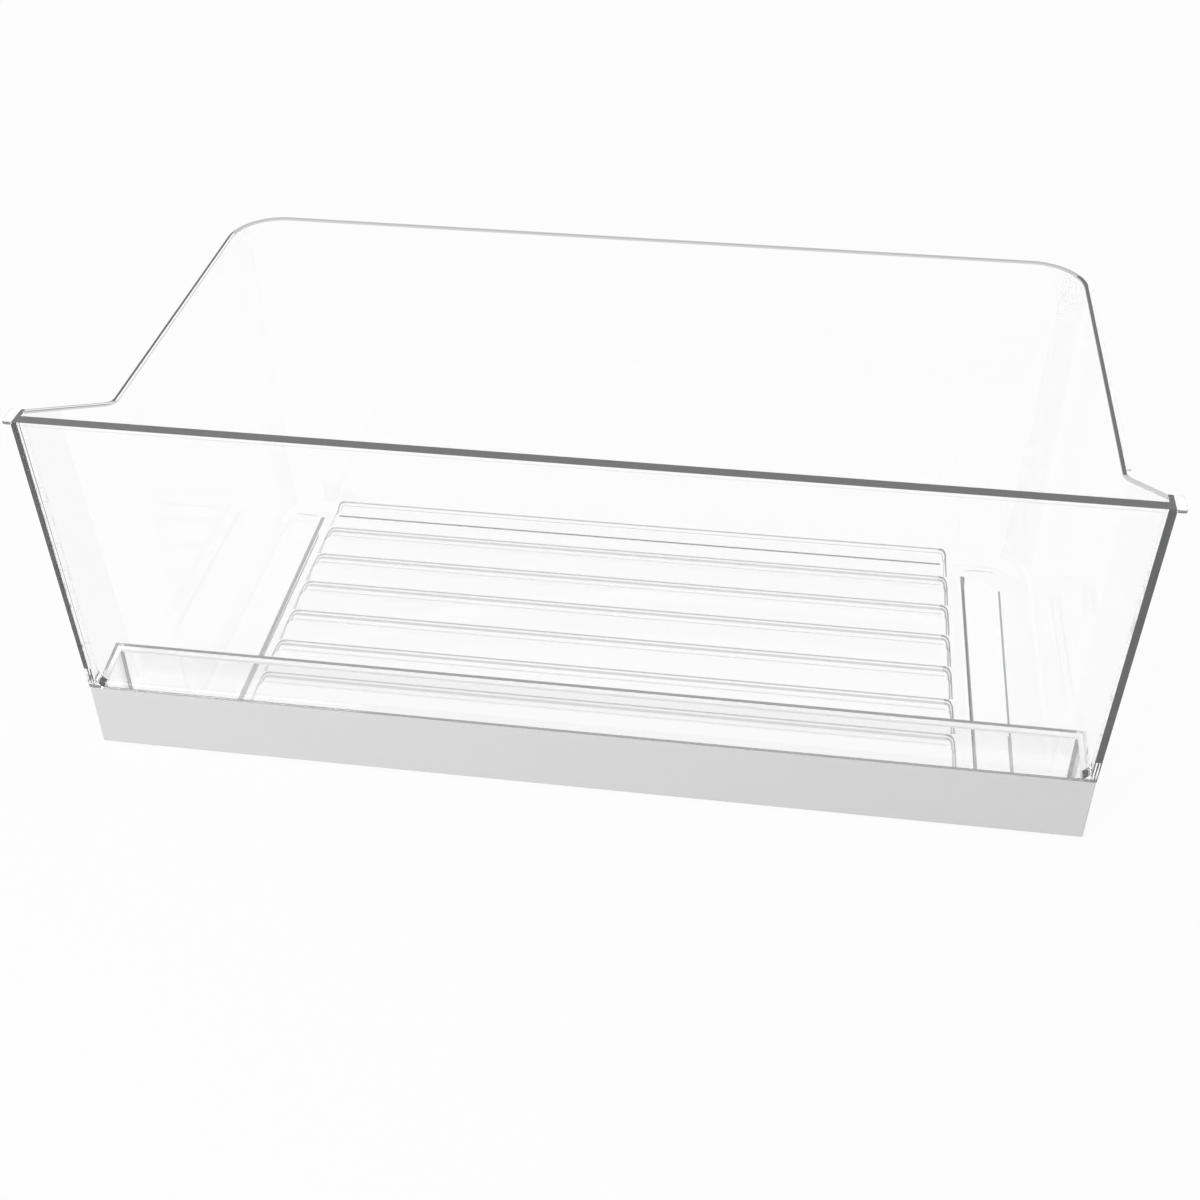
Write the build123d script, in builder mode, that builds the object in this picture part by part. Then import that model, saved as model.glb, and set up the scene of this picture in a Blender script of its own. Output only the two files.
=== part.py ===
from build123d import *
from math import atan, ceil, cos, degrees, hypot, radians, tan
import os

os.makedirs("parts", exist_ok=True)

# Overall sizes in millimetres, with the drawer resting on z = 0 and its front facing -Y
drawer_height = 180.5
drawer_depth = 194.5
panel_width = 460.0  # clear front across its top
panel_lean = 4.5  # how far each side of the front leans in from its top to the strip

# Clear front moulding
panel_wall = 4.8
return_depth = 9.8
return_wall = 2.4
return_corner = 7.0  # inside radius between a side return and the ledge
ear_reach = 4.0
ear_thickness = 1.3
ear_radius = 1.5
pocket_depth = 31.6  # from the front face to the back of the finger pocket
ledge_wall = 2.0
ledge_drop = 2.0  # ledge's top below the strip's upper edge, where it meets the plate
ledge_rise = 4.2  # how much higher the ledge is at the back of the pocket

# Grip strip that clips over the pocket's front wall
strip_height = 34.2
strip_wall = 2.2
strip_return_wall = 1.7
strip_lip_wall = 2.0
strip_lip_height = 6.0
strip_edge_radius = 0.8
hook_count = 5
hook_length = 9.0
hook_height = 3.0
hook_rise = 22.0  # hook's underside above the strip's lower edge
hook_barb = 1.2

# Feet pressed into the strip's lower lip
foot_height = 1.2
foot_diameter = 4.4
foot_chamfer = 0.4
foot_stem_diameter = 2.2
foot_setback = 3.3  # from the front face to a foot's middle
foot_left_inset = 23.9  # from the strip's end to the foot's middle
foot_right_inset = 13.3

# Basket walls, with each side wall's outer face at the rim set in from that end of the front
basket_left_inset = 35.5
basket_right_inset = 15.6
basket_wall = 2.0
wall_lean = 1.5  # how far each wall leans in from the rim to the floor
knee_depth = 20.0  # from the front face to where a flare meets its side wall
knee_radius = 4.0
corner_radius = 24.0
floor_radius = 3.0  # inside radius between the walls and the floor
side_lip_width = 1.8
side_lip_thickness = 1.5
side_lip_setback = 5.0  # from the knee to the lip's front end

# Floor with overlapping raised pads and two runner skids
floor_thickness = 2.0
skid_drop = 3.2  # underside of the skids below the underside of the floor
skid_width = 20.7
skid_wall = 2.0
skid_left_inset = 15.8  # from the side wall's outer face at the rim to the skid's middle
skid_right_inset = 26.5
skid_rear_gap = 15.5  # from the rear wall's outer face to the skids' rounded ends
pad_left_inset = 30.8  # from the side wall's outer face at the rim to the pads' foot
pad_right_inset = 42.7
pad_pitch = 23.65
pad_rear_gap = 3.0  # flat floor between the rear wall and the first pad
pad_rise = 5.6
pad_front_rise = 0.6
pad_corner_radius = 7.0
pad_crest_radius = 2.4
pad_wall = 2.0
pad_draft = 20.0  # degrees that the pads' sides and rear edges lean in

# Clearances between pieces
fit_gap = 0.15
hook_gap = 0.3

# Levels and places that follow from the sizes above
front = -drawer_depth / 2
rear = drawer_depth / 2
panel_foot_width = panel_width - 2 * panel_lean
foot_left_x = foot_left_inset - panel_foot_width / 2
foot_right_x = panel_foot_width / 2 - foot_right_inset
basket_left_reach = panel_width / 2 - basket_left_inset
basket_right_reach = panel_width / 2 - basket_right_inset
skid_left_x = skid_left_inset - basket_left_reach
skid_right_x = basket_right_reach - skid_right_inset
pad_left_x = pad_left_inset - basket_left_reach
pad_right_x = basket_right_reach - pad_right_inset
strip_bottom = foot_height
strip_top = strip_bottom + strip_height
lip_top = strip_bottom + strip_lip_wall
plate_foot = strip_top + fit_gap
plate_back = front + panel_wall
ledge_front = strip_top - ledge_drop
pocket_bottom = lip_top + fit_gap
pocket_front = front + strip_wall + fit_gap
pocket_wall = plate_back - pocket_front  # the plate runs on down behind the strip
pocket_back = front + pocket_depth
pocket_half = panel_foot_width / 2 - strip_return_wall - fit_gap
floor_bottom = skid_drop
floor_top = floor_bottom + floor_thickness
basket_front = pocket_back + fit_gap
wall_draft = degrees(atan(wall_lean / (drawer_height - floor_bottom)))
past = 10.0  # how far a cutting shape runs past what it cuts


def panel_half(level):
    """Half the front's width at a height, where its sides lean in towards the strip."""
    return panel_foot_width / 2 + panel_lean * (level - plate_foot) / (drawer_height - plate_foot)


def panel_outline(low, high, inset):
    """Corners of the clear front between two heights, set in from its leaning sides."""
    low_half = panel_half(low) - inset
    high_half = panel_half(high) - inset
    return (-low_half, low), (low_half, low), (high_half, high), (-high_half, high)


def ledge_side(lift, level, foremost, rearmost):
    """Corners of a side profile between the sloping ledge, lifted by some height, and a level."""
    slope = ledge_rise / (pocket_back - plate_back)
    sloped = [(y, ledge_front + lift + slope * (y - plate_back)) for y in (foremost, rearmost)]
    return *sloped, (rearmost, level), (foremost, level)


def basket_outline(inset):
    """Draw the basket's plan at the rim, set in from its outer faces, with its flares run past the front."""
    flare_start = panel_half(drawer_height) - return_wall
    rise = knee_depth - return_depth
    back = rear - inset
    tips = []
    knees = []
    for side, reach in ((1, basket_right_reach), (-1, basket_left_reach)):
        run = flare_start - reach
        slope = rise / run
        offset = front + return_depth - inset * hypot(run, rise) / run
        tips.append((side * (flare_start + past), offset - slope * past))
        knees.append((side * (reach - inset), offset + slope * (run + inset)))
    corners = [(knees[0][0], back), (knees[1][0], back)]
    knee = knee_radius + inset
    corner = corner_radius - inset
    FilletPolyline(tips[0], knees[0], *corners, knees[1], tips[1], radius=[knee, corner, corner, knee])
    ahead = front - past * (2 + inset)
    Polyline(tips[1], (tips[1][0], ahead), (tips[0][0], ahead), tips[0])


# Inside of the basket, with the radius that joins its walls to its floor
with BuildPart() as cavity:
    with BuildSketch(Plane.XY.offset(drawer_height)):
        with BuildLine():
            basket_outline(basket_wall)
        make_face()
    extrude(amount=floor_top - drawer_height, taper=wall_draft)
    foot_edges = cavity.faces().sort_by(Axis.Z)[0].edges()
    fillet(foot_edges.filter_by_position(Axis.Y, front + knee_depth, rear), floor_radius)

# Basket's outer form, leaning in from the rim to the floor
with BuildPart() as basket_block:
    with BuildSketch(Plane.XY.offset(drawer_height)):
        with BuildLine():
            basket_outline(0)
        make_face()
    extrude(amount=floor_bottom - drawer_height, taper=wall_draft)
    base_edges = basket_block.faces().sort_by(Axis.Z)[0].edges()
    fillet(base_edges.filter_by_position(Axis.Y, front + knee_depth, rear), floor_radius + basket_wall)

# One raised pad and the hollow under it, each high along its rear edge and running down to the front
pad_lean = tan(radians(pad_draft))
pad_shapes = []
for inset, base, crest_radius in (
    (0, floor_top, pad_crest_radius),
    (pad_wall / cos(radians(pad_draft)), floor_bottom, 0),
):
    crest = base + pad_rise
    with BuildPart() as pad_shape:
        with BuildSketch(Plane.XY.offset(floor_bottom)) as pad_plan:
            with Locations(((pad_left_x + pad_right_x) / 2, (floor_top + pad_rise - floor_bottom) * pad_lean - inset)):
                plan_width = pad_right_x - pad_left_x - 2 * inset
                Rectangle(plan_width, 2 * pad_pitch, align=(Align.CENTER, Align.MAX))
            fillet(pad_plan.vertices().group_by(Axis.Y)[-1], pad_corner_radius - inset)
        extrude(amount=crest + past - floor_bottom, taper=pad_draft)
        with BuildSketch(Plane.YZ.offset(pad_left_x)):
            with BuildLine():
                slope = (pad_rise - pad_front_rise) / pad_pitch
                Polyline(
                    (past, floor_bottom),
                    (past, crest + slope * past),
                    (-pad_pitch, base + pad_front_rise),
                    (-pad_pitch, floor_bottom),
                    close=True,
                )
            make_face()
        extrude(amount=pad_right_x - pad_left_x, mode=Mode.INTERSECT)
        if crest_radius:
            fillet(pad_shape.faces().sort_by(Axis.Z)[-1].edges().sort_by(Axis.Y)[1:], crest_radius)
    pad_shapes.append(pad_shape.part)
pad, pad_hollow = pad_shapes

# Room that the front leaves for the basket: between its side returns above the ledge, and all behind the pocket
with BuildPart() as basket_room:
    with BuildSketch(Plane.XZ.offset(-basket_front)) as room_outline:
        Polygon(*panel_outline(ledge_front + fit_gap, drawer_height, return_wall + fit_gap), align=None)
        fillet(room_outline.vertices().group_by(Axis.Y)[0], return_corner)
    extrude(amount=drawer_depth)
    with BuildSketch(Plane.YZ.offset(-panel_width)):
        Polygon(*ledge_side(fit_gap, drawer_height, front - past, basket_front), align=None)
    extrude(amount=2 * panel_width, mode=Mode.INTERSECT)
    with BuildSketch(Plane.XZ.offset(-basket_front)):
        Rectangle(panel_width, drawer_height, align=(Align.CENTER, Align.MIN))
    extrude(amount=-drawer_depth)

# Clear basket: floor, side and rear walls, and the flares that widen to the front
pad_rear = rear - wall_lean - basket_wall - pad_rear_gap
pad_count = ceil((pad_rear - basket_front) / pad_pitch)
pad_places = [(0, pad_rear - row * pad_pitch, 0) for row in range(pad_count)]
skid_end = rear - skid_rear_gap - skid_width / 2
with BuildPart() as basket:
    add(basket_block.part)
    add(cavity.part, mode=Mode.SUBTRACT)
    with Locations(*pad_places):
        add(pad)
    add(basket_block.part, mode=Mode.INTERSECT)
    with Locations(*pad_places):
        add(pad_hollow, mode=Mode.SUBTRACT)
    # runner skids, each a channel pressed down through the floor with a rounded rear end
    for width, low, high, mode in (
        (skid_width, 0, floor_bottom, Mode.ADD),
        (skid_width - 2 * skid_wall, floor_thickness, floor_top, Mode.SUBTRACT),
    ):
        with BuildSketch(Plane.XY.offset(low)):
            for skid_x in (skid_left_x, skid_right_x):
                with Locations((skid_x, skid_end)):
                    Rectangle(width, skid_end - front, align=(Align.CENTER, Align.MAX))
                    Circle(width / 2)
        extrude(amount=high - low, mode=mode)
    # lip along the outside of the right rim
    lip_front = front + knee_depth + side_lip_setback
    lip_rear = rear - corner_radius
    with BuildSketch(Plane.XY.offset(drawer_height)) as lip_plan:
        with Locations((basket_right_reach - basket_wall / 2, lip_rear)):
            Rectangle(basket_wall / 2 + side_lip_width, lip_rear - lip_front, align=(Align.MIN, Align.MAX))
        fillet(lip_plan.vertices().group_by(Axis.X)[-1], side_lip_width / 2)
    extrude(amount=-side_lip_thickness)
    add(basket_room.part, mode=Mode.INTERSECT)

# Clear front: thick plate with side returns, ears and a finger pocket under its sloping ledge
hook_pitch = panel_foot_width / hook_count
hook_bottom = strip_bottom + hook_rise
hook_middle = hook_bottom + hook_height / 2
with BuildPart() as front_panel:
    with BuildSketch(Plane.XZ.offset(-front)):
        Polygon(*panel_outline(plate_foot, drawer_height, 0), align=None)
    extrude(amount=-return_depth)
    with BuildSketch(Plane.XZ.offset(-pocket_front)):
        with Locations((0, pocket_bottom)):
            Rectangle(2 * pocket_half, plate_foot - pocket_bottom, align=(Align.CENTER, Align.MIN))
    extrude(amount=pocket_front - front - return_depth)
    with BuildSketch(Plane.XZ.offset(-plate_back)) as panel_inside:
        Polygon(*panel_outline(ledge_front, drawer_height + past, return_wall), align=None)
        fillet(panel_inside.vertices().group_by(Axis.Y)[0], return_corner)
    extrude(amount=-return_depth, mode=Mode.SUBTRACT)
    ear_width = panel_width + 2 * ear_reach
    with BuildSketch(Plane.XY.offset(drawer_height)) as ear_plan:
        with Locations((0, front)):
            Rectangle(ear_width, return_depth, align=(Align.CENTER, Align.MIN))
        fillet(ear_plan.vertices(), ear_radius)
        with Locations((0, front)):
            Rectangle(panel_width - 2 * return_wall, return_depth, align=(Align.CENTER, Align.MIN), mode=Mode.SUBTRACT)
    extrude(amount=-ear_thickness)
    # finger pocket, open below, with its rear wall run down to the floor's underside
    with BuildSketch(Plane.YZ.offset(-pocket_half)):
        Polygon(*ledge_side(0, pocket_bottom, pocket_front, pocket_back), align=None)
    extrude(amount=2 * pocket_half)
    with BuildSketch(Plane.XY.offset(pocket_bottom)):
        with Locations((0, pocket_back)):
            Rectangle(2 * pocket_half, pocket_wall, align=(Align.CENTER, Align.MAX))
    extrude(amount=floor_bottom - pocket_bottom)
    with BuildSketch(Plane.YZ.offset(pocket_wall - pocket_half)):
        Polygon(*ledge_side(-ledge_wall, -past, plate_back, pocket_back - pocket_wall), align=None)
    extrude(amount=2 * (pocket_half - pocket_wall), mode=Mode.SUBTRACT)
    # windows for the strip's hooks
    with BuildSketch(Plane.XZ.offset(-pocket_front)):
        with Locations((0, hook_middle)):
            with GridLocations(hook_pitch, 0, hook_count, 1):
                Rectangle(hook_length + 2 * hook_gap, hook_height + 2 * hook_gap)
    extrude(amount=-pocket_wall, mode=Mode.SUBTRACT)

# Light grey grip strip, a channel that clips over the pocket's front wall
lip_front_face = pocket_front + pocket_wall + fit_gap
lip_back = lip_front_face + strip_lip_wall
hook_tip = pocket_front + pocket_wall + hook_gap + hook_barb
foot_places = ((foot_left_x, front + foot_setback), (foot_right_x, front + foot_setback))
with BuildPart() as grip_strip:
    with BuildSketch(Plane.XY.offset(strip_bottom)) as strip_plan:
        with Locations((0, front)):
            Rectangle(panel_foot_width, return_depth, align=(Align.CENTER, Align.MIN))
        fillet(strip_plan.vertices().group_by(Axis.Y)[0], strip_edge_radius)
    extrude(amount=strip_height)
    fillet(grip_strip.faces().sort_by(Axis.Z)[0].edges().sort_by(Axis.Y)[0], strip_edge_radius)
    with BuildSketch(Plane.XY.offset(lip_top)):
        with Locations((0, front + strip_wall)):
            inside_width = panel_foot_width - 2 * strip_return_wall
            Rectangle(inside_width, return_depth, align=(Align.CENTER, Align.MIN))
    extrude(amount=strip_height, mode=Mode.SUBTRACT)
    with BuildSketch(Plane.XY.offset(lip_top)):
        with Locations((0, lip_back)):
            Rectangle(panel_width, return_depth, align=(Align.CENTER, Align.MIN))
    extrude(amount=-strip_height, mode=Mode.SUBTRACT)
    # inner lip behind the pocket's front wall, between its end walls
    lip_half = pocket_half - pocket_wall - fit_gap
    with BuildSketch(Plane.YZ.offset(-lip_half)) as lip_side:
        with Locations((lip_front_face, strip_bottom)):
            Rectangle(strip_lip_wall, strip_lip_height, align=(Align.MIN, Align.MIN))
        fillet(lip_side.vertices().group_by(Axis.Y)[-1].sort_by(Axis.X)[-1], strip_lip_wall / 3)
    extrude(amount=2 * lip_half)
    # hooks through the windows of the pocket's front wall
    for hook_x in [(index - (hook_count - 1) / 2) * hook_pitch for index in range(hook_count)]:
        with BuildSketch(Plane.YZ.offset(hook_x - hook_length / 2)):
            with BuildLine():
                Polyline(
                    (front + strip_wall / 2, hook_bottom),
                    (hook_tip, hook_bottom),
                    (hook_tip, hook_bottom + hook_height),
                    (hook_tip - hook_barb, hook_bottom + hook_height + hook_barb),
                    (hook_tip - hook_barb, hook_bottom + hook_height),
                    (front + strip_wall / 2, hook_bottom + hook_height),
                    close=True,
                )
            make_face()
        extrude(amount=hook_length)
    with Locations(*[(x, y, strip_bottom) for x, y in foot_places]):
        Cylinder(
            foot_stem_diameter / 2 + fit_gap,
            strip_lip_wall,
            align=(Align.CENTER, Align.CENTER, Align.MIN),
            mode=Mode.SUBTRACT,
        )

# Two glide feet with stems that press into the strip's lower lip
feet = []
for name, place in zip(("foot_left", "foot_right"), foot_places):
    with BuildPart() as foot:
        with BuildSketch():
            with Locations(place):
                Circle(foot_diameter / 2)
        extrude(amount=foot_height)
        chamfer(foot.edges().group_by(Axis.Z)[0], foot_chamfer)
        with BuildSketch(Plane.XY.offset(foot_height)):
            with Locations(place):
                Circle(foot_stem_diameter / 2)
        extrude(amount=strip_lip_wall)
    foot.part.label = name
    feet.append(foot.part)

basket.part.label = "basket"
front_panel.part.label = "front_panel"
grip_strip.part.label = "grip_strip"
for piece in (basket.part, front_panel.part, grip_strip.part, *feet):
    export_step(piece, f"parts/{piece.label}.step")
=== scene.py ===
from math import cos, sin

import bpy
from mathutils import Matrix, Vector

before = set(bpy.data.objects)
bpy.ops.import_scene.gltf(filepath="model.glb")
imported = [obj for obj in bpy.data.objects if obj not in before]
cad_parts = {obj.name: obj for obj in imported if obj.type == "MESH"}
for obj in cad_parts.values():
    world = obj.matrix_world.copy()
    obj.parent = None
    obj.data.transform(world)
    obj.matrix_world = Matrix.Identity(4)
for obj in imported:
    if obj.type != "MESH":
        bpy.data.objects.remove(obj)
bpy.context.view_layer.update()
scene = bpy.context.scene


# Basket
# The real bin is one injection moulding of clear polystyrene, about 2 mm thick all over.
# Its walls lean out for the mould, the floor steps in seven overlapping pads, and two long skids
# run beside them. The polished mould leaves it glossy, with faint flow waves in the sheet.
class Socket:
    """One output of a shader node, on which arithmetic adds the nodes that work it out."""

    def __init__(self, shader, link):
        self.shader = shader
        self.link = link

    def _math(self, operation, *values):
        return self.shader.add("ShaderNodeMath", {"operation": operation}, *values)

    def __add__(self, other):
        return self._math("ADD", self, other)

    __radd__ = __add__

    def __sub__(self, other):
        return self._math("SUBTRACT", self, other)

    def __rsub__(self, other):
        return self._math("SUBTRACT", other, self)

    def __mul__(self, other):
        return self._math("MULTIPLY", self, other)

    __rmul__ = __mul__

    def __mod__(self, other):
        return self._math("FLOORED_MODULO", self, other)

    def __rmod__(self, other):
        return self._math("FLOORED_MODULO", other, self)

    def __pow__(self, other):
        return self._math("POWER", self, other)

    def __rpow__(self, other):
        return self._math("POWER", other, self)

    def __gt__(self, limit):
        return self._math("GREATER_THAN", self, limit)

    def __lt__(self, limit):
        return self._math("LESS_THAN", self, limit)

    def __abs__(self):
        return self._math("ABSOLUTE", self)

    def at_least(self, limit):
        return self._math("MAXIMUM", self, limit)

    def at_most(self, limit):
        return self._math("MINIMUM", self, limit)

    def between(self, low, high):
        """1 between two limits and 0 elsewhere."""
        return (self > low) * (self < high)

    def near(self, middle, reach):
        """1 within reach of a middle value and 0 elsewhere."""
        return abs(self - middle) < reach

    def smooth(self, low, high):
        """0 below low and 1 above high, with a soft step between."""
        settings = {"interpolation_type": "SMOOTHSTEP"}
        return self.shader.add("ShaderNodeMapRange", settings, self, From_Min=low, From_Max=high)

    def axes(self):
        """The three coordinates of a vector."""
        return [self.shader.add("ShaderNodeSeparateXYZ", {}, self, out=axis) for axis in "XYZ"]


class Shader:
    """The node tree of one material or of the world."""

    def __init__(self, owner):
        owner.use_nodes = True
        self.tree = owner.node_tree
        self.tree.nodes.clear()

    def add(self, kind, settings, *values, out=0, **named):
        """Adds a node, sets it up, and fills its sockets in order or by name."""
        node = self.tree.nodes.new(kind)
        for key, value in settings.items():
            if key == "stops":
                ramp = node.color_ramp
                while len(ramp.elements) < len(value):
                    ramp.elements.new(1.0)
                for element, (place, colour) in zip(ramp.elements, value):
                    element.position = place
                    element.color = colour
            else:
                setattr(node, key, value)
        sockets = list(zip(node.inputs, values))
        sockets += [(node.inputs[name.replace("_", " ")], value) for name, value in named.items()]
        for socket, value in sockets:
            if isinstance(value, Socket):
                self.tree.links.new(value.link, socket)
            elif value is not None:
                socket.default_value = value
        return Socket(self, node.outputs[out] if len(node.outputs) else None)


class ClearPlastic(Shader):
    """Clear moulded polystyrene: polished, with soft flow waves and a trace of haze."""

    def __init__(self, name):
        self.material = bpy.data.materials.new(name)
        super().__init__(self.material)
        self.place = self.add("ShaderNodeTexCoord", {}, out="Object")
        self.x, self.y, self.z = self.place.axes()
        self.flat = self.add("ShaderNodeNewGeometry", {}, out="True Normal")
        self.across, self.along, self.up = self.flat.axes()

    def polish(self, shade, wave_scale, wave_height):
        """The polished clear surface, darkened by painted shade from 0 to 1."""
        haze = self.add(
            "ShaderNodeTexNoise", {}, Vector=self.place, Scale=34.0, Detail=4.0, Roughness=0.6
        )
        flow = self.add(
            "ShaderNodeTexNoise", {}, Vector=self.place, Scale=wave_scale, Detail=1.0, Roughness=0.4
        )
        clear = self.add(
            "ShaderNodeValToRGB",
            {"stops": [(0.3, (0.994, 0.995, 0.996, 1.0)), (0.7, (0.999, 0.999, 1.0, 1.0))]},
            haze,
        )
        # the colour of the painted shade
        dark = (0.002, 0.002, 0.0022, 1.0)
        # a Mix node's colours come after its five sockets for other factors, numbers and vectors
        tint_and_painted_shade = self.add(
            "ShaderNodeMix", {"data_type": "RGBA"}, shade, *[None] * 5, clear, dark, out=2
        )
        return self.add(
            "ShaderNodeBsdfPrincipled",
            {},
            Base_Color=tint_and_painted_shade,
            Roughness=0.008 + 0.012 * haze,
            IOR=1.59,
            Transmission_Weight=1.0,
            Normal=self.add("ShaderNodeBump", {}, Height=flow, Distance=wave_height, Strength=1.0),
        )

    def finish(self, surface):
        self.add("ShaderNodeOutputMaterial", {}, Surface=surface)
        return self.material


def dress(name, material):
    """Gives a piece of the CAD model its only material."""
    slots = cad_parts[name].data.materials
    slots.clear()
    slots.append(material)


plastic = ClearPlastic("clear_bin")
x, y, z = plastic.x, plastic.y, plastic.z
outside = 1.0 - plastic.add("ShaderNodeNewGeometry", {}, out="Backfacing")

# The dark lines that the photo shows on the moulding's edges come from light bent or trapped in the
# plastic; they are painted shade drawn where the edges lie. Each line is a mask times its darkness.
# view_depth keeps a line in its row of the photo whether it lies on the floor, on a pad or on a
# wall.
floor_top = 0.0052
depth_per_height = 1.19
view_depth = y + depth_per_height * (z - floor_top)

# pads: painted shade lines for the light that the stepped floor bends and traps: a rounded outline,
# a band inside it and a faint line at the foot, but two thinner lines on the rearmost pad, all
# darker at the right ends. All of them follow the distance in from the pad's edge.
first_crest = 0.1010
pad_pitch = 0.0236
pads_middle = 0.00435
pads_half_width = 0.16695
pads_top = 0.0135
corner_radius = 0.007
corner_squeeze = 1.9
line_margin = 0.004
back_in = (first_crest - view_depth) % pad_pitch
side_in = pads_half_width - abs(x - pads_middle)
side_turn = (corner_radius - corner_squeeze * side_in).at_least(0.0)
back_turn = (corner_radius - back_in).at_least(0.0)
edge_in = corner_radius - (side_turn ** 2.0 + back_turn ** 2.0) ** 0.5
on_pads = (side_in > 0.0) * (z < pads_top) * (view_depth < first_crest)
at_side = side_in < 0.0045
rearmost = view_depth > first_crest - pad_pitch
outline = 0.52 * edge_in.between(0.0, 0.0011 + 0.0005 * at_side)
band = 0.38 * edge_in.between(0.0024, 0.0043)
foot_line = 0.16 * back_in.near(0.0073, 0.0004) * (side_in > line_margin)
thin_line = 0.33 * edge_in.between(0.0032, 0.0039)
fold_line = 0.80 * back_in.near(0.0134, 0.0006) * (side_in > line_margin)
inner_lines = (1.0 - rearmost) * (band + foot_line) + rearmost * (thin_line + fold_line)
right_end = at_side * (x > 0.0)
pad_lines = on_pads * (outline + inner_lines) * (1.0 + 0.45 * right_end)


def skid_side(place, lean, half_width, rear_end, darkness):
    """The painted shade line along one side of a skid, which leans a little on its way back."""
    return darkness * (x - lean * view_depth).near(place, half_width) * (view_depth < rear_end)


def skid_end(middle, depth, low, high):
    """The faint bowed painted shade line round the rear end of a skid."""
    bow = 0.16 * (abs(x - middle) - 0.0020).at_least(0.0)
    return 0.3 * (view_depth + bow).near(depth, 0.0004) * x.between(low, high)


# painted shade lines on the floor beside and behind the skids
skid_foot, skid_top = 0.0015, 0.0056
skid_lines = z.between(skid_foot, skid_top) * (
    skid_side(place=-0.1686, lean=-0.0052, half_width=0.0010, rear_end=0.0856, darkness=0.62)
    + skid_side(place=0.1798, lean=-0.0056, half_width=0.0011, rear_end=0.0790, darkness=0.75)
    + skid_side(place=0.1971, lean=0.0090, half_width=0.0005, rear_end=0.0690, darkness=0.68)
    + skid_end(middle=-0.1800, depth=0.0870, low=-0.1890, high=-0.1720)
    + skid_end(middle=0.1885, depth=0.0850, low=0.1815, high=0.1955)
)

# Outer faces carry a trace of painted shade, more on their bends, so that the walls show. A side
# lies about 0.2 m from the middle and the back about 0.1 m, so both terms come to about 1 where
# they face out.
facing_out = 5.0 * plastic.across * x + 10.0 * plastic.along * y > 0.5
bin_middle = 0.010
side_wall = abs(x - bin_middle) > 0.195
back_wall = y > 0.0945
wall_foot = 0.0035
outer_wall = outside * facing_out * side_wall.at_least(back_wall) * (z > wall_foot)
outer_wall = outer_wall * (abs(plastic.up) < 0.9)
corner_bend = abs(plastic.across * plastic.along).smooth(0.25, 0.5)
base_bend = (z < 0.0085) * (plastic.up < -0.25)
outer_painted_shade = outer_wall * (0.04 + 0.16 * corner_bend + 0.3 * base_bend)

upper_faces = (plastic.up > -0.05) * outside
# painted shade on the wall faces just under the rim's top
rim_foot = 0.1797
rim_edge = 0.35 * (abs(plastic.up) < 0.5) * outside * (z > rim_foot)
shade = upper_faces * (pad_lines + skid_lines) + rim_edge + outer_painted_shade
glass = plastic.polish(shade, wave_scale=9.0, wave_height=0.0002)

# The sheet is mostly plain clear, darkened by the painted shade lines, with a little of the
# polished surface. The polish alone would trap light and look darker than the photo. The right wall
# shows a bit more of it, the pads less, and the mouth behind the front panel none.
air = plastic.add("ShaderNodeBsdfTransparent", {}, Color=(1.0, 1.0, 1.0, 1.0))
painted_shade_filter = plastic.add("ShaderNodeBsdfTransparent", {}, Color=(0.1, 0.1, 0.105, 1.0))
air_with_painted_shade = plastic.add("ShaderNodeMixShader", {}, shade, air, painted_shade_filter)
right_wall = x.smooth(0.165, 0.205) * (z > 0.0125)
mouth = 1.0 - y.smooth(-0.075, -0.055)
clearness = 0.93 - 0.05 * right_wall + 0.07 * mouth + 0.04 * on_pads
sheet = plastic.add("ShaderNodeMixShader", {}, clearness, glass, air_with_painted_shade)

# rims, painted light and shade in place of the light that the clear rims pass and trap: pale along
# the back, with a dark outer line on the left, a dark inner band on the right, and on the flares a
# pale band on the right and two grey lines on the left, which follow the distance in from the left
# flare's front
flare = y < -0.0765
behind_flare = 1.0 - flare
left_line = behind_flare * (x < -0.1934) * (y < 0.0790)
right_band = behind_flare * x.between(0.2100, 0.2140) * (y < 0.0850)
back_band = (y > 0.0765) * (1.0 - left_line) * (1.0 - right_band)
right_flare = flare * (x > 0.0)
left_flare = flare * (x < 0.0)
flare_end = (-0.2276, -0.08745)
flare_normal = (-0.2945, 0.9556)
flare_depth = flare_normal[0] * (x - flare_end[0]) + flare_normal[1] * (y - flare_end[1])
outer_flare = left_flare * (flare_depth > -0.0006)
inner_flare = left_flare * (flare_depth < -0.0012)
rim_painted_tones = [
    (back_band, 0.62),
    (left_line, 0.12),
    (right_band, 0.15),
    (right_flare, 0.75),
    (outer_flare, 0.5),
    (inner_flare, 0.35),
]
rim = plastic.add(
    "ShaderNodeBsdfPrincipled",
    {},
    Base_Color=sum(tone * mask for mask, tone in rim_painted_tones),
    Roughness=0.4,
)
upper_part = z > 0.170
rim_top = upper_part * (plastic.up > 0.9) * sum(mask for mask, tone in rim_painted_tones)
dress("basket", plastic.finish(plastic.add("ShaderNodeMixShader", {}, rim_top, sheet, rim)))


# Front panel
# A second clear moulding cemented to the bin's mouth: a thick flat plate with short side returns,
# a small ear at each top corner, and the finger pocket along its foot. Light trapped in its thick
# top edge shows it dark, and the ends of the returns carry painted shade for the light trapped
# there.
plastic = ClearPlastic("clear_front")
x, y, z = plastic.x, plastic.y, plastic.z
off_middle = abs(x)
lengthwise = abs(plastic.along) > 0.9

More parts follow.
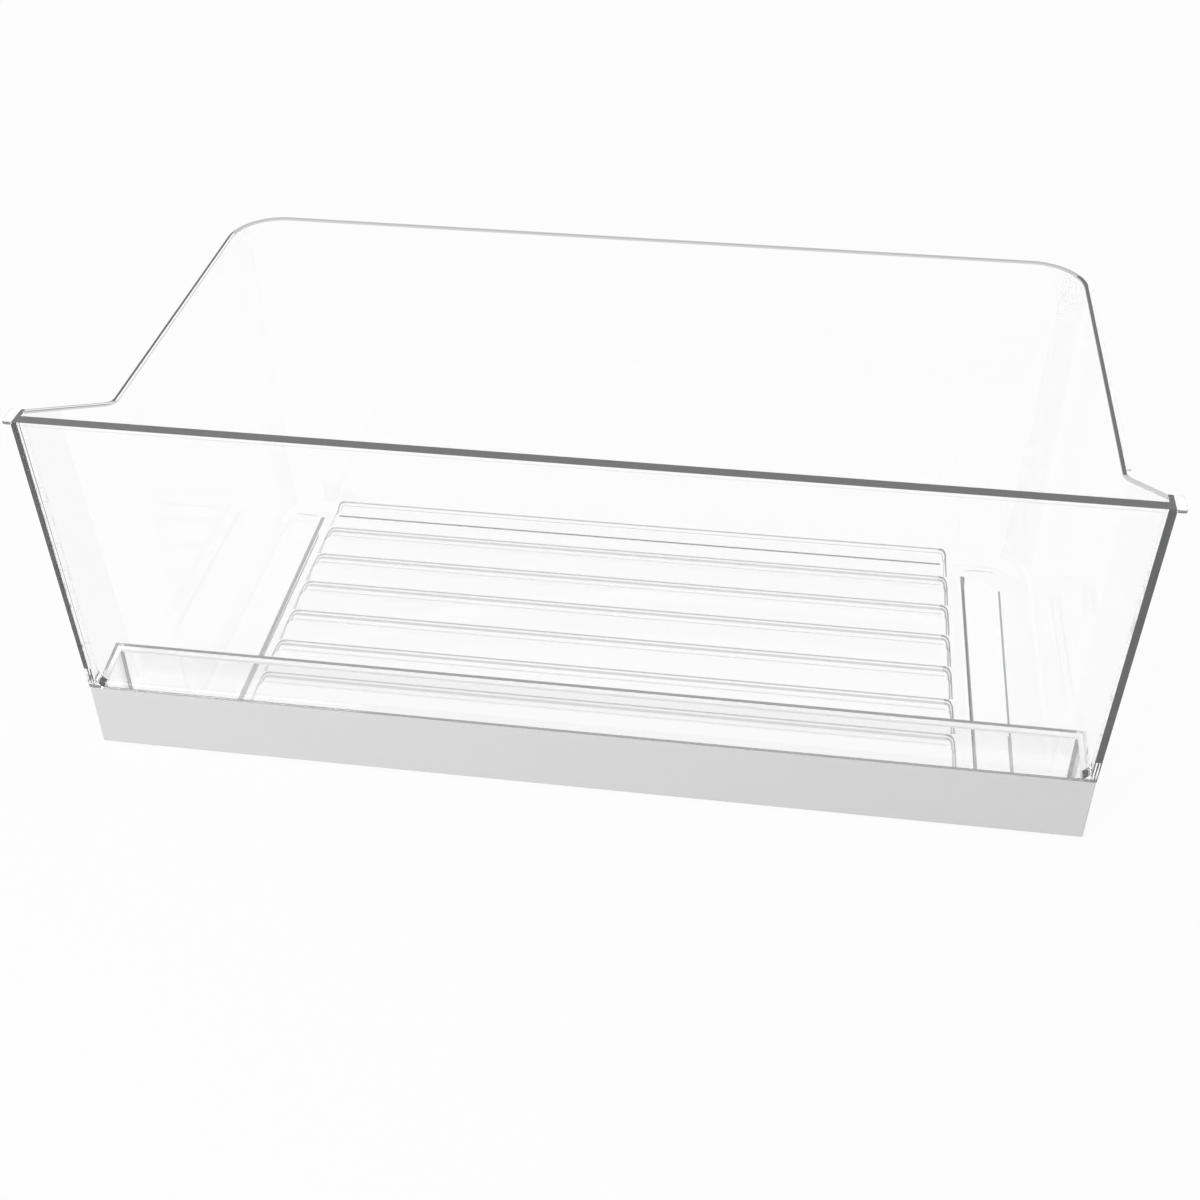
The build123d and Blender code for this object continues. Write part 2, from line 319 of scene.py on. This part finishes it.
# painted shade on the ends of the side returns, which splits into two fine lines just above the
# strip
strip_top = 0.0355
foot_top = 0.0425
return_side = 0.2256
return_lean = 0.0303
side_in = return_side + return_lean * (z - strip_top) - off_middle
outer_gap = 0.0010 - 0.003 * z
marked_part = (x > 0.0).at_least(side_in > outer_gap)
end_band = (z > foot_top) * marked_part * (side_in > -0.001)
end_foot = (z < foot_top) * ((side_in < 0.0004) + side_in.near(0.0014, 0.0003))
on_end = lengthwise * (off_middle > 0.2205) * (y > -0.089) * (z > strip_top)
return_end = on_end * (end_band + end_foot)

# painted shade: dark ears, the lines along the strip and under the rail, and the pocket's rear
# corners
ear_front = (off_middle > 0.2302) * (plastic.along < -0.5)
plate_face = (y < -0.0970) * lengthwise
strip_line = plate_face * z.between(0.0348, 0.0369 + 0.0004 * (off_middle > 0.2170))
rail_line = plate_face * z.near(0.1790, 0.0003)
pocket_corner = lengthwise * (off_middle > 0.2193) * y.between(-0.0690, -0.0676) * (z < 0.0365)

# painted shade along sharp edges, found with the bevel
rounded = plastic.add("ShaderNodeBevel", {"samples": 4}, Radius=0.0004)
likeness = plastic.add(
    "ShaderNodeVectorMath", {"operation": "DOT_PRODUCT"}, rounded, plastic.flat, out="Value"
)
sharp_edge = (1.0 - likeness).smooth(0.02, 0.15)
shade = (
    0.15 * sharp_edge
    + 1.0 * return_end
    + 0.9 * ear_front
    + 0.85 * strip_line
    + 0.2 * rail_line
    + 0.93 * pocket_corner
)
glass = plastic.polish(shade, wave_scale=5.0, wave_height=0.0001)

# tops with painted light and shade: the rail's is dark and only a little lightened by a painted
# glow, the ears' middles and the ledge are pale with it, and the ledge's rear and side edge is a
# painted grey with less of it
painted_glow = plastic.add(
    "ShaderNodeBsdfPrincipled",
    {},
    Base_Color=(0.9, 0.9, 0.9, 1.0),
    Roughness=0.5,
    Emission_Color=(1.0, 1.0, 1.0, 1.0),
    Emission_Strength=0.3,
)
ear_middle = off_middle.between(0.2310, 0.2333) * y.between(-0.0965, -0.0881)
upper_part = z > 0.170
rail_top = upper_part * (0.11 + 0.80 * ear_middle)
ledge_in = (-0.0657 - y).at_most(0.2236 - off_middle)
ledge_top = (z < 0.045) * (ledge_in < 0.0036) * (0.28 + 0.72 * (ledge_in > 0.0015))
painted_light_top = (plastic.up > 0.9) * (rail_top + ledge_top)
panel_surface = plastic.add("ShaderNodeMixShader", {}, painted_light_top, glass, painted_glow)
dress("front_panel", plastic.finish(panel_surface))


# Grip strip
# A light grey moulded channel that clips over the pocket's front wall with hooks. Opaque plastic
# with a satin gloss, smooth on its face.
grey = bpy.data.materials.new("grip_grey")
shader = Shader(grey)
place = shader.add("ShaderNodeTexCoord", {}, out="Object")
cloud = shader.add("ShaderNodeTexNoise", {}, Vector=place, Scale=60.0, Detail=2.0, Roughness=0.5)
grain = shader.add("ShaderNodeTexNoise", {}, Vector=place, Scale=900.0, Detail=2.0, Roughness=0.5)
surface = shader.add(
    "ShaderNodeBsdfPrincipled",
    {},
    Base_Color=shader.add(
        "ShaderNodeValToRGB",
        {"stops": [(0.2, (0.705, 0.699, 0.703, 1.0)), (0.8, (0.711, 0.705, 0.709, 1.0))]},
        cloud,
    ),
    Roughness=0.38 + 0.04 * cloud,
    IOR=1.5,
    Normal=shader.add("ShaderNodeBump", {}, Height=grain, Distance=0.00001, Strength=0.4),
)
shader.add("ShaderNodeOutputMaterial", {}, Surface=surface)
dress("grip_strip", grey)


# Feet
# Two small turned glide feet in a softer mid grey plastic, pressed into the strip's lower lip,
# which keep the strip off the shelf.
glide = bpy.data.materials.new("glide_grey")
shader = Shader(glide)
place = shader.add("ShaderNodeTexCoord", {}, out="Object")
scuff = shader.add("ShaderNodeTexNoise", {}, Vector=place, Scale=700.0, Detail=4.0, Roughness=0.6)
surface = shader.add(
    "ShaderNodeBsdfPrincipled",
    {},
    Base_Color=shader.add(
        "ShaderNodeValToRGB",
        {"stops": [(0.3, (0.155, 0.155, 0.16, 1.0)), (0.7, (0.20, 0.20, 0.205, 1.0))]},
        scuff,
    ),
    Roughness=0.5 + 0.2 * scuff,
    Normal=shader.add("ShaderNodeBump", {}, Height=scuff, Distance=0.00005, Strength=0.5),
)
shader.add("ShaderNodeOutputMaterial", {}, Surface=surface)
for name in ("foot_left", "foot_right"):
    dress(name, glide)


# Floor
# Plain pale studio floor. Rays from the camera, and those that the clear plastic bends or mirrors,
# see it nearly white by its own light. For the rest it is a matt surface that takes the shadow.
def seen_rays(shader):
    """1 for rays from the camera and those that a surface bends or mirrors, 0 for all others."""
    camera, mirrored, bent = [
        shader.add("ShaderNodeLightPath", {}, out=f"Is {kind} Ray")
        for kind in ("Camera", "Glossy", "Transmission")
    ]
    clamped = {"operation": "ADD", "use_clamp": True}
    return shader.add("ShaderNodeMath", clamped, camera + mirrored, bent)


floor_reach = 6.0
corners = [(-1, -1), (1, -1), (1, 1), (-1, 1)]
floor_mesh = bpy.data.meshes.new("floor")
floor_mesh.from_pydata(
    [(across * floor_reach, along * floor_reach, 0.0) for across, along in corners],
    [],
    [(0, 1, 2, 3)],
)
floor = bpy.data.objects.new("floor", floor_mesh)
scene.collection.objects.link(floor)
pale = bpy.data.materials.new("pale_floor")
shader = Shader(pale)
matt = shader.add("ShaderNodeBsdfDiffuse", {}, Color=(0.9, 0.9, 0.9, 1.0))
glow = shader.add("ShaderNodeEmission", {}, Color=(1.0, 1.0, 1.0, 1.0), Strength=1.0)
mixed = shader.add("ShaderNodeMixShader", {}, 0.93 * seen_rays(shader), matt, glow)
shader.add("ShaderNodeOutputMaterial", {}, Surface=mixed)
floor_mesh.materials.append(pale)


# Studio light
# A white tent all round, which is what the clear plastic mirrors and bends, with a lower level for
# the light that falls on matt surfaces. A soft key lamp at the front left makes the strip fall off
# to the right, and a weak fill lamp stands at the front right.
world = bpy.data.worlds.new("studio")
scene.world = world
shader = Shader(world)
dim = shader.add("ShaderNodeBackground", {}, Color=(1.0, 1.0, 1.0, 1.0), Strength=0.62)
white = shader.add("ShaderNodeBackground", {}, Color=(1.0, 1.0, 1.0, 1.0), Strength=1.0)
mixed = shader.add("ShaderNodeMixShader", {}, seen_rays(shader), dim, white)
shader.add("ShaderNodeOutputWorld", {}, Surface=mixed)


def soft_lamp(name, place, aim, side, watts):
    """A square soft lamp at a place, turned towards a point."""
    lamp = bpy.data.lights.new(name, "AREA")
    lamp.shape = "RECTANGLE"
    lamp.size = side
    lamp.size_y = side
    lamp.energy = watts
    lamp_object = bpy.data.objects.new(name, lamp)
    lamp_object.location = place
    lamp_object.rotation_mode = "QUATERNION"
    lamp_object.rotation_quaternion = (Vector(aim) - Vector(place)).to_track_quat("-Z", "Y")
    scene.collection.objects.link(lamp_object)


soft_lamp("key", place=(-0.8, -1.1, 0.9), aim=(0.0, 0.0, 0.03), side=0.6, watts=9.0)
soft_lamp("fill", place=(1.8, -1.0, 1.2), aim=(0.0, 0.0, 0.1), side=1.2, watts=2.0)


# Camera
# The photograph's own viewpoint, solved from the straight edges of the front, the rims and the
# skids.
photo_side = 1200.0
focal_pixels = 1624.591
middle = (595.0, 524.0)
camera_place = (0.086066, -0.610983, 0.541439)
yaw, pitch, roll = -0.147, 0.643, 0.009
ahead = Vector((sin(yaw) * cos(pitch), cos(yaw) * cos(pitch), -sin(pitch)))
level_right = ahead.cross(Vector((0.0, 0.0, 1.0))).normalized()
level_down = ahead.cross(level_right)
right = cos(roll) * level_right + sin(roll) * level_down
down = cos(roll) * level_down - sin(roll) * level_right
camera = bpy.data.cameras.new("photo_camera")
camera.sensor_width = 36.0
camera.lens = camera.sensor_width * focal_pixels / photo_side
camera.shift_x = (photo_side / 2 - middle[0]) / photo_side
camera.shift_y = (middle[1] - photo_side / 2) / photo_side
camera.clip_start = 0.02
camera.clip_end = 50.0
viewer = bpy.data.objects.new("photo_camera", camera)
turned = Matrix((right, -down, -ahead)).transposed().to_4x4()
viewer.matrix_world = Matrix.Translation(camera_place) @ turned
scene.collection.objects.link(viewer)
scene.camera = viewer

scene.view_settings.view_transform = "Standard"
